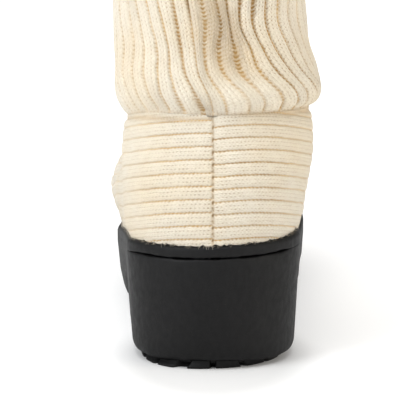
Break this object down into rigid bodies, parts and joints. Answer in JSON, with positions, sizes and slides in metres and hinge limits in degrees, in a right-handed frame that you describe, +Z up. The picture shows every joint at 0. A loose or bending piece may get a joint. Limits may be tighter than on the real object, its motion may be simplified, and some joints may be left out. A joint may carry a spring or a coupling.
{
  "type": "sock boot",
  "caption": "Left sock boot: rib-knit foot and slouched rib-knit shaft on a chunky moulded rubber platform sole with a tall block heel and lugged treads.",
  "frame": {"origin": "on the floor under the middle of the heel, on the heel tread's flat underside", "axes": "+Z up from the floor, +Y from heel to toe, +X to the inner side of the foot"},
  "size_m": [0.0985, 0.2686, 0.2403],
  "materials": {
    "cream_knit": "matte cream rib knit",
    "black_rubber": "matte moulded charcoal rubber",
    "footbed": "plain beige textile"
  },
  "bodies": {
    "root": {"heel_tread": "black_rubber", "forefoot_tread": "black_rubber", "platform_block": "black_rubber", "midsole_rim": "black_rubber", "insole": "footbed", "upper": "cream_knit", "shaft": "cream_knit"}
  },
  "joints": []
}
